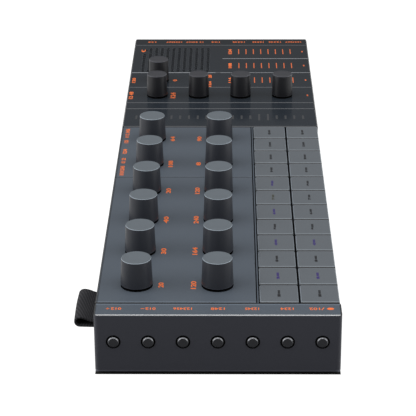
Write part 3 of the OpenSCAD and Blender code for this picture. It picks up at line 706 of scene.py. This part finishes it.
class DM_OT_stage(bpy.types.Operator):
    """Adds the floor, the soft light and the camera"""

    bl_idname = "drum_machine.stage"
    bl_label = "Stage"

    def execute(self, context):
        settings = context.scene.drum_stage
        scene = context.scene
        scene.view_settings.view_transform = "Standard"
        scene.view_settings.look = "None"
        self.floor(settings)
        self.world(scene, settings)
        self.lights(settings)
        self.camera(scene, settings)
        return {"FINISHED"}

    def floor(self, settings):
        """White paper that glows, a painted light that also lights the machine, less so before the left
        end; under the machine it is painted black as its shadow.
        """
        bm = bmesh.new()
        bmesh.ops.create_grid(bm, x_segments=8, y_segments=8, size=15)
        mesh = bpy.data.meshes.new("floor")
        bm.to_mesh(mesh)
        bm.free()
        obj = bpy.data.objects.new("floor", mesh)
        bpy.context.scene.collection.objects.link(obj)
        paint = Paint("floor_paper", Roughness=0.9, Emission_Strength=1.0)
        x, y = paint.axis("X"), paint.axis("Y")
        # painted shadow: under the machine the paper is near black and does not glow; painted light:
        # elsewhere it glows and lights the machine
        under = (abs(x - MID_X) < HALF_LENGTH) * (abs(y - MID_Y) < HALF_DEPTH)
        seen = paint.node("ShaderNodeLightPath", out="Is Camera Ray")
        front = (x < LEFT_X) * (1 - seen) * (1 - ((LEFT_X - x) / 0.30).clamped() * settings.front_glow)
        glow = (1 - under) * (1 - front) * (settings.glow + seen * (1.0 - settings.glow))
        paper = paint.tint(settings.floor, paint.noise(0.4, 2), 0.01)
        mesh.materials.append(paint.feed(Base_Color=paint.mix(under, paper, (0.01, 0.01, 0.01)),
                                         Emission_Color=paint.mix(glow, BLACK, (1, 1, 1))))

    def world(self, scene, settings):
        """A white room that lights the machine less than the camera sees."""
        world = bpy.data.worlds.new("room")
        world.use_nodes = True
        tree = world.node_tree
        back = tree.nodes["Background"]
        path = tree.nodes.new("ShaderNodeLightPath")
        mix = tree.nodes.new("ShaderNodeMix")
        mix.inputs[2].default_value = settings.world
        mix.inputs[3].default_value = 1.0
        tree.links.new(path.outputs["Is Camera Ray"], mix.inputs[0])
        tree.links.new(mix.outputs[0], back.inputs["Strength"])
        back.inputs["Color"].default_value = (1, 1, 1, 1)
        scene.world = world

    def lights(self, settings):
        """Soft light from both long sides and a softbox overhead."""

        def lamp(name, kind, power, where, aim, **values):
            data = bpy.data.lights.new(name, kind)
            data.energy = power
            for key, value in values.items():
                setattr(data, key, value)
            obj = bpy.data.objects.new(name, data)
            obj.location = where
            obj.rotation_euler = (Vector(aim) - Vector(where)).to_track_quat("-Z", "Y").to_euler()
            bpy.context.scene.collection.objects.link(obj)

        lamp("left_light", "SUN", settings.left, (-0.18, 1.0, 0.55), (0, 0, 0), angle=math.radians(60))
        lamp("right_light", "SUN", settings.right, (-0.15, -1.0, 0.50), (0, 0, 0), angle=math.radians(60))
        lamp("softbox_top", "AREA", settings.key, (-0.25, 0.0, 1.2), (0, 0, 0), shape="RECTANGLE", size=1.0,
             size_y=1.2)

    def camera(self, scene, settings):
        """A long lens before the left end, above the deck."""
        data = bpy.data.cameras.new("camera")
        data.lens = settings.lens
        data.sensor_width = 36
        data.clip_start, data.clip_end = 0.05, 60
        obj = bpy.data.objects.new("camera", data)
        obj.location = (LEFT_X - settings.camera_ahead, MID_Y - settings.camera_aside,
                        DECK_Z + settings.camera_up)
        ahead = Vector((math.cos(settings.pitch) * math.cos(settings.yaw),
                        math.cos(settings.pitch) * math.sin(settings.yaw), -math.sin(settings.pitch)))
        turn = ahead.to_track_quat("-Z", "Y").to_matrix() @ Matrix.Rotation(settings.roll, 3, "Z")
        obj.rotation_euler = turn.to_euler()
        scene.collection.objects.link(obj)
        scene.camera = obj


class DM_OT_case(bpy.types.Operator):
    """Finishes the case, its cover, feet and screws"""

    bl_idname = "drum_machine.case"
    bl_label = "Case"

    def execute(self, context):
        settings = context.scene.drum_case
        wear([NODES["top_case"]], case_finish(settings))
        wear([NODES["track_panel"]], deck_finish(settings))
        wear([NODES["effect_panel"]], panel_finish(settings))
        wear([NODES["bottom_cover"]], moulded("cover_plastic", settings.cover, 0.6, 0.0004))
        wear([NODES["feet"]], rubber_finish("foot_rubber"))
        wear([NODES["cover_screws"]], metal_finish("dark_steel", (0.42, 0.42, 0.43), 0.35))
        return {"FINISHED"}


class DM_OT_inside(bpy.types.Operator):
    """Finishes the board, the battery and the speaker, and rings the holes of the grille with painted
    highlights
    """

    bl_idname = "drum_machine.inside"
    bl_label = "Inside"

    def execute(self, context):
        wear([NODES["circuit_board"]], board_finish("solder_mask"))
        wear([NODES["battery"]], moulded("battery_foil", (0.16, 0.17, 0.18), 0.4, 0.001))
        wear([NODES["speaker"]], moulded("speaker_paper", (0.008, 0.008, 0.009), 0.75, 0.0006, 0.2))
        self.grille()
        return {"FINISHED"}

    def grille(self):
        """A thin light grey rim round each hole over the speaker, painted as the highlight on the hole's
        edge.
        """
        bm = bmesh.new()
        sign_at, sign_reach = 322.5, 7.0    # the first column leaves room for the printed sign
        for row in range(HOLES):
            for column in range(HOLES):
                along = FIRST_HOLE[0] + HOLE_ROW * row
                if column == 0 and abs(along - sign_at) <= sign_reach:
                    continue
                middle = place(along, FIRST_HOLE[1] + HOLE_COLUMN * column, EFFECT_Z + 0.015 * MM)
                ring_face(bm, middle, (HOLE_R + HOLE_RIM) * MM, HOLE_R * MM, 16)
        # painted highlight: a light grey ring round each hole stands for the light caught by its edge
        grey = ink_finish("hole_rim_highlight", (0.100, 0.108, 0.120), 0.35)
        sheet_piece(bm, "grille_rim_highlights", "body", "glossy_panel", grey)


class DM_OT_knobs(bpy.types.Operator):
    """Turns the caps of the track knobs and the effect knobs"""

    bl_idname = "drum_machine.knobs"
    bl_label = "Knobs"

    def execute(self, context):
        settings = context.scene.drum_controls
        top_z = high("track_knob_1").z
        grey = knob_finish("knob_grey", settings.knob, settings.knob_top, DECK_Z + 1.0 * MM, top_z)
        black = knob_finish("knob_black", settings.effect_knob, settings.effect_knob_top,
                            EFFECT_Z + 1.0 * MM, top_z)
        for node in TRACK_KNOBS:
            self.cap(settings, node, DECK_Z, grey, "knob_grey", taper=12.0 / 13.0, wall=1.3)
        for node in EFFECT_KNOBS:
            self.cap(settings, node, EFFECT_Z, black, "knob_black", taper=10.0 / 10.7, wall=0.9)
        self.shade_rings(settings)
        return {"FINISHED"}

    def cap(self, settings, node, plate_z, material, slot, taper, wall):
        """A hollow cap with a softened foot, a slightly dished top and its shaft below.

        taper is the top's width over the foot's, and wall is in mm.
        """
        lo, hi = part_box(node)
        middle = Vector(((lo.x + hi.x) / 2, (lo.y + hi.y) / 2, 0))
        r0 = (hi.x - lo.x) / 2
        r1 = r0 * taper
        foot, top = plate_z + 1.0 * MM, hi.z
        rim = settings.rim
        shaft = 3.0 * MM
        profile = [
            (0, lo.z), (shaft - 0.2 * MM, lo.z), (shaft, lo.z + 0.2 * MM), (shaft, foot + 0.9 * MM),
            (r0 - wall * MM, foot + 0.7 * MM), (r0 - wall * MM, foot),
            (r0 - 0.12 * MM, foot), (r0, foot + 0.12 * MM), (r0 - 0.02 * MM, foot + 0.4 * MM),
            (r1, top - rim), (r1 - rim * 0.3, top - rim * 0.3), (r1 - rim, top),
            (r1 - rim - 0.15 * MM, top - 0.01 * MM), (r1 - rim - 0.35 * MM, top - 0.05 * MM),
            (r1 * 0.5, top - 0.06 * MM), (0, top - 0.06 * MM),
        ]
        bm = bmesh.new()
        turned(bm, profile, middle, settings.facets)
        obj = finish_piece(bm, node + "_cap", node, slot, material, math.radians(28))
        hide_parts(node)

    def shade_rings(self, settings):
        """Thin black rings round the shafts under each knob: painted shade for the gap under the knob."""
        bm = bmesh.new()
        for node in TRACK_KNOBS + EFFECT_KNOBS:
            lo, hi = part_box(node)
            plate = DECK_Z if node in TRACK_KNOBS else EFFECT_Z
            middle = Vector(((lo.x + hi.x) / 2, (lo.y + hi.y) / 2, plate))
            outer, inner = (hi.x - lo.x) / 2 - 0.05 * MM, 3.8 * MM
            under, over = 0.01 * MM, 0.25 * MM
            ring = [(inner, under), (outer, under), (outer, over), (inner, over)]
            turned(bm, ring, middle, 64, closed=True)
        finish_piece(bm, "knob_shade_rings", "body", "dark_plastic", shade_black_finish("painted_shade_black"))


class DM_OT_keys(bpy.types.Operator):
    """Finishes the step keys and prints their marks"""

    bl_idname = "drum_machine.keys"
    bl_label = "Step keys"

    def execute(self, context):
        settings = context.scene.drum_controls
        marks = context.scene.drum_marks
        wear([NODES[n] for n in STEP_KEYS], key_finish(settings))
        inks = {name: ink_finish("key_ink_" + name, colour) for name, colour in (
            ("dark", marks.dark), ("violet", marks.violet), ("olive", (0.045, 0.045, 0.030)))}
        half = len(STEP_KEYS) // 2
        digit_at = Vector((-1.75 * MM, 0, 0))
        square = 0.95 * MM
        rows_meet = MID_Y - 25 * MM
        for i, node in enumerate(STEP_KEYS):
            column = i % half
            middle = top_middle(node)
            inner = middle.y > rows_meet
            colour = "violet" if column in (1, 3) or (inner and column in (5, 7)) else "dark"
            colour = "olive" if column == 6 and inner else colour
            ink = Print(marks.lift)
            ink.digits(str(column + 1), middle + digit_at, *ALONG, 1.2 * MM, 0.12, 2.3 * MM)
            for step in range(3):
                ink.bar(middle + Vector(((0.2 + step * 1.1) * MM, 0, 0)), *ALONG, square, square)
            ink.piece(node + "_mark", node, ("key_grey", inks[colour]))
        return {"FINISHED"}


class DM_OT_buttons(bpy.types.Operator):
    """Finishes the end buttons and the power switch"""

    bl_idname = "drum_machine.buttons"
    bl_label = "End buttons"

    def execute(self, context):
        settings = context.scene.drum_controls
        buttons = LEFT_BUTTONS + ["right_end_buttons"]
        wear([NODES[n] for n in buttons], button_finish(settings))
        wear([NODES["power_switch"]], moulded("switch_plastic", settings.button, 0.4, 0.0002, 0.05))
        self.rings(buttons)
        return {"FINISHED"}

    def rings(self, buttons):
        """A black ring round each button's hole, painted shade for the gap round the button."""
        bm = bmesh.new()
        drop = DECK_Z - BUTTON_DROP * MM
        spots = [(LEFT_X - 0.01 * MM, centre(node).y) for node in LEFT_BUTTONS]
        spots += [(RIGHT_X + 0.01 * MM, y) for y in self.right_places()]
        for x, y in spots:
            out = Vector((1 if x > 0 else -1, 0, 0))
            ring_face(bm, Vector((x, y, drop)), BUTTON_RING * MM, BUTTON_HOLE * MM, 40, out)
        sheet_piece(bm, "button_rings", "body", "case", shade_black_finish("button_ring_shade"))

    def right_places(self):
        """The middles of the caps of the right end, read from their node."""
        outer = high("right_end_buttons").x - 0.1 * MM
        mesh = NODES["right_end_buttons"].data
        across = sorted(round(v.co.y, 5) for v in mesh.vertices if v.co.x > outer)
        groups = [[across[0]]]
        for y in across[1:]:
            if y - groups[-1][-1] > 2 * MM:
                groups.append([])
            groups[-1].append(y)
        return [(g[0] + g[-1]) / 2 for g in groups]


class DM_OT_markings(bpy.types.Operator):
    """Prints the numbers and signs on the case and the panels"""

    bl_idname = "drum_machine.markings"
    bl_label = "Markings"

    def execute(self, context):
        marks = context.scene.drum_marks
        self.marks = marks
        self.ink = ("case", ink_finish("orange_ink", marks.ink))
        self.grey = ("glossy_panel", ink_finish("grey_ink", (0.040, 0.042, 0.046)))
        self.left_strip()
        self.track_numbers()
        self.back_edge()
        self.right_strip()
        self.effect_marks()
        self.lamps()
        return {"FINISHED"}

    def left_strip(self):
        """Numbers, signs and an oval along the left end."""
        ink = Print(self.marks.lift)

        def at(across):
            return place(LEFT_STRIP, across, DECK_Z)

        for across, word, length in ((-39.9, "012", 4.1), (-26.4, "012", 4.1), (-13.8, "123456", 7.4),
                                     (0.0, "1248", 5.5), (13.4, "12345", 5.5), (27.1, "1234", 5.2),
                                     (37.9, "102", 4.2)):
            ink.digits(word, at(across), *ACROSS, self.marks.height * 0.9, 0.02, length * MM)
        ink.bar(at(-43.2), *ACROSS, 1.3 * MM, 0.38 * MM)
        ink.bar(at(-43.2), *ACROSS, 0.38 * MM, 1.3 * MM)
        ink.bar(at(-29.5), *ACROSS, 1.4 * MM, 0.42 * MM)
        ink.bar(at(41.1), (0.5, 1, 0), (-1, 0.5, 0), 0.4 * MM, 2.2 * MM)
        ink.oval(at(44.1), *ACROSS, 2.8 * MM, 1.9 * MM)
        ink.piece("left_strip_markings", "body", self.ink)

    def track_numbers(self):
        """A number beside each track knob."""
        ink = Print(self.marks.lift)
        words = (("20", 4.6), ("30", 5.8), ("40", 7.0), ("20", 5.6), ("108", 8.0), ("64", 6.3),
                 ("120", 7.2), ("164", 7.4), ("240", 8.0), ("120", 7.4), ("8", 4.0), ("90", 6.0))
        knobs = sorted(TRACK_KNOBS, key=number)
        for i, (node, (word, length)) in enumerate(zip(knobs, words)):
            point = place(0, -23.0 if i < len(knobs) // 2 else -9.9, DECK_Z)
            point.x = centre(node).x
            ink.digits(word, point, *ALONG, self.marks.height, 0.04, length * MM)
        ink.piece("track_markings", "body", self.ink)

    def back_edge(self):
        """Numbers by the sockets and the switch."""
        ink = Print(self.marks.lift)
        for along, length, word in ((147.3, 12.5, "10 012345"), (159.6, 7.2, "01 23"), (171.4, 6.6, "1234"),
                                    (184.2, 4.3, "123"), (195.5, 13.0, "0 12 3456")):
            ink.digits(word, place(along, -45.4, DECK_Z), *ALONG, 2.0 * MM, 0.04, length * MM * 0.92)
        ink.piece("back_edge_markings", "body", self.ink)

    def right_strip(self):
        """Numbers along the right end."""
        ink = Print(self.marks.lift)
        for across, length, word in ((-38.9, 4.5, "123"), (-26.5, 9.0, "1234567"), (-14.9, 9.8, "12 34567"),
                                     (-3.0, 4.8, "123"), (10.0, 7.0, "12345"), (20.9, 6.5, "12345"),
                                     (30.4, 7.0, "12345"), (40.8, 9.0, "1234567")):
            ink.digits(word, place(RIGHT_STRIP, across, EFFECT_Z), *ACROSS, self.marks.height * 0.85, 0.03,
                       length * MM)
        ink.piece("right_strip_markings", "body", ("glossy_panel", self.ink[1]))

    def effect_marks(self):
        """Steps and numbers of the lanes, numbers by the effect knobs, and a sign by the grille."""
        ink, lines = Print(self.marks.lift), Print(self.marks.lift)
        for along, word in zip(LANES, ("124", "108", "116")):
            for i in range(8):
                lines.bar(place(along, 9.9 + 4.09 * i, EFFECT_Z), *ALONG, 8.5 * MM, 0.5 * MM)
            ink.digits(word, place(along, 5.1, EFFECT_Z), *ALONG, 1.9 * MM, 0.05, 8.4 * MM)
        third, last = LANES[2] - 0.4, LANES[3]
        for along, across, word, tall, length in (
                (third, -46.1, "120", 1.9, 8.0), (last, -46.4, "12 48", 2.2, 11.0),
                (third, -24.2, "0", 2.3, 2.6), (last, -24.6, "124", 2.6, 8.6),
                (278.9, -5.7, "20", 1.9, 5.0), (266.8, -5.5, "124", 1.3, 8.6)):
            ink.digits(word, place(along, across, EFFECT_Z), *ALONG, tall * MM, 0.05, length * MM)
        for along in LANES:
            lines.digits("1", place(along, 45.2, EFFECT_Z), *ALONG, 0.8 * MM, 0.05, 2.2 * MM)
        sign = place(321.4, -43.1, EFFECT_Z)
        ink.dot(sign + Vector((-0.6 * MM, 0, 0)), *ALONG, 1.0 * MM)
        for side in (0.9, -0.9):
            ink.bar(sign + Vector((1.2 * MM, side * MM, 0)), *ALONG, 2.6 * MM, 0.45 * MM)
        ink.piece("effect_markings", "body", ("glossy_panel", self.ink[1]))
        lines.piece("effect_steps", "body", ("glossy_panel", ink_finish("burnt_ink", self.marks.burnt)))

    def lamps(self):
        """The grey windows of the level lamps; two of them are longer."""
        ink = Print(self.marks.lift)
        for i in range(20):
            length = (9.0 if i in (14, 15) else 5.0) * MM
            ink.bar(place(LAMPS, -42.1 + 4.41 * i, EFFECT_Z), *ALONG, length, 1.0 * MM)
        ink.piece("lamp_windows", "body", self.grey)


class DM_OT_strap(bpy.types.Operator):
    """Lays the woven strap: out of its slot, round in a drop shape and back in"""

    bl_idname = "drum_machine.strap"
    bl_label = "Strap"

    def execute(self, context):
        settings = context.scene.drum_strap
        lo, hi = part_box("strap")
        half = settings.thickness / 2
        radius = (hi.z - lo.z) / 2 - half
        slot_height = 2.9 * MM - settings.thickness
        middle_z = (lo.z + hi.z) / 2
        foot = middle_z - radius
        y_in, y_out = BACK_Y - 3.2 * MM, hi.y - half - radius
        path = [(y_in + (y_out - y_in) * i / 14, foot) for i in range(15)]
        path += [(y_out + radius * math.sin(a), middle_z - radius * math.cos(a))
                 for a in (math.pi * i / 16 for i in range(1, 17))]
        slope_start = BACK_Y + 0.3 * MM
        head, mouth = middle_z + radius, foot + slot_height
        path += [(y_out + (slope_start - y_out) * i / 9, head + (mouth - head) * self.ease(i / 9))
                 for i in range(1, 10)]
        path += [(slope_start + (y_in - slope_start) * i / 5, mouth) for i in range(1, 6)]
        bm = bmesh.new()
        rows = [bm.verts.new((lo.x, y, z)) for y, z in path]
        edges = [bm.edges.new(pair) for pair in zip(rows, rows[1:])]
        columns = 30
        width = hi.x - lo.x
        for _ in range(columns):
            made = bmesh.ops.extrude_edge_only(bm, edges=edges)["geom"]
            edges = [e for e in made if isinstance(e, bmesh.types.BMEdge)]
            bmesh.ops.translate(bm, verts=[v for v in made if isinstance(v, bmesh.types.BMVert)],
                                vec=(width / columns, 0, 0))
        self.relax(bm, lo, hi, middle_z)
        self.lay_threads(bm, lo, path)
        bmesh.ops.recalc_face_normals(bm, faces=bm.faces)
        obj = sheet_piece(bm, "strap_webbing", "body", "webbing", weave_finish(settings), math.pi)
        body = obj.modifiers.new("thickness", "SOLIDIFY")
        body.thickness, body.offset = settings.thickness, 0.0
        round_off = obj.modifiers.new("soft_edges", "SUBSURF")
        round_off.levels = round_off.render_levels = 1
        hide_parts("strap")
        return {"FINISHED"}

    @staticmethod
    def ease(t):
        """Runs from 0 to 1 with level ends."""
        return t * t * (3 - 2 * t)

    def relax(self, bm, lo, hi, middle_z):
        """Lets the loop wander a little where nothing holds it."""
        for vert in bm.verts:
            free = max(0.0, min(1.0, (vert.co.y - BACK_Y - 0.6 * MM) / (4 * MM)))
            across = (vert.co.x - lo.x) / (hi.x - lo.x)
            bow = math.sin(across * math.pi)
            vert.co.z += free * MM * 0.10 * math.sin(across * 9.0 + vert.co.y * 400)
            vert.co.y -= free * MM * 0.25 * (1 - bow)

    def lay_threads(self, bm, lo, path):
        """Stores for every corner how far it lies across and along the webbing, in metres."""
        layer = bm.loops.layers.uv.new("ribbon")
        lengths = [0.0]
        for (y0, z0), (y1, z1) in zip(path, path[1:]):
            lengths.append(lengths[-1] + math.hypot(y1 - y0, z1 - z0))
        for face in bm.faces:
            for loop in face.loops:
                x, y, z = loop.vert.co
                row = min(range(len(path)), key=lambda i: (path[i][0] - y) ** 2 + (path[i][1] - z) ** 2)
                loop[layer].uv = (x - lo.x, lengths[row])


STEPS = (
    DM_OT_stage, DM_OT_case, DM_OT_inside, DM_OT_knobs, DM_OT_keys, DM_OT_buttons, DM_OT_markings,
    DM_OT_strap,
)


class DM_PT_pieces(bpy.types.Panel):
    """Lists the steps"""

    bl_label = "Drum machine"
    bl_idname = "DM_PT_pieces"
    bl_space_type = "VIEW_3D"
    bl_region_type = "UI"
    bl_category = "Drum machine"

    def draw(self, context):
        for group in ("drum_stage", "drum_case", "drum_controls", "drum_marks", "drum_strap"):
            box = self.layout.box()
            settings = getattr(context.scene, group)
            for name in settings.bl_rna.properties.keys():
                if name not in {"rna_type", "name"}:
                    box.prop(settings, name)
        for step in STEPS:
            self.layout.operator(step.bl_idname)


GROUPS = {
    "drum_stage": StageSettings, "drum_case": CaseSettings, "drum_controls": ControlSettings,
    "drum_marks": MarkingSettings, "drum_strap": StrapSettings,
}


def register():
    for cls in (*GROUPS.values(), *STEPS, DM_PT_pieces):
        bpy.utils.register_class(cls)
    for name, cls in GROUPS.items():
        setattr(bpy.types.Scene, name, PointerProperty(type=cls))


def unregister():
    for name in GROUPS:
        delattr(bpy.types.Scene, name)
    for cls in (DM_PT_pieces, *reversed(STEPS), *GROUPS.values()):
        bpy.utils.unregister_class(cls)


def main():
    register()
    for step in STEPS:
        group, name = step.bl_idname.split(".")
        getattr(getattr(bpy.ops, group), name)()


if __name__ == "__main__":
    main()
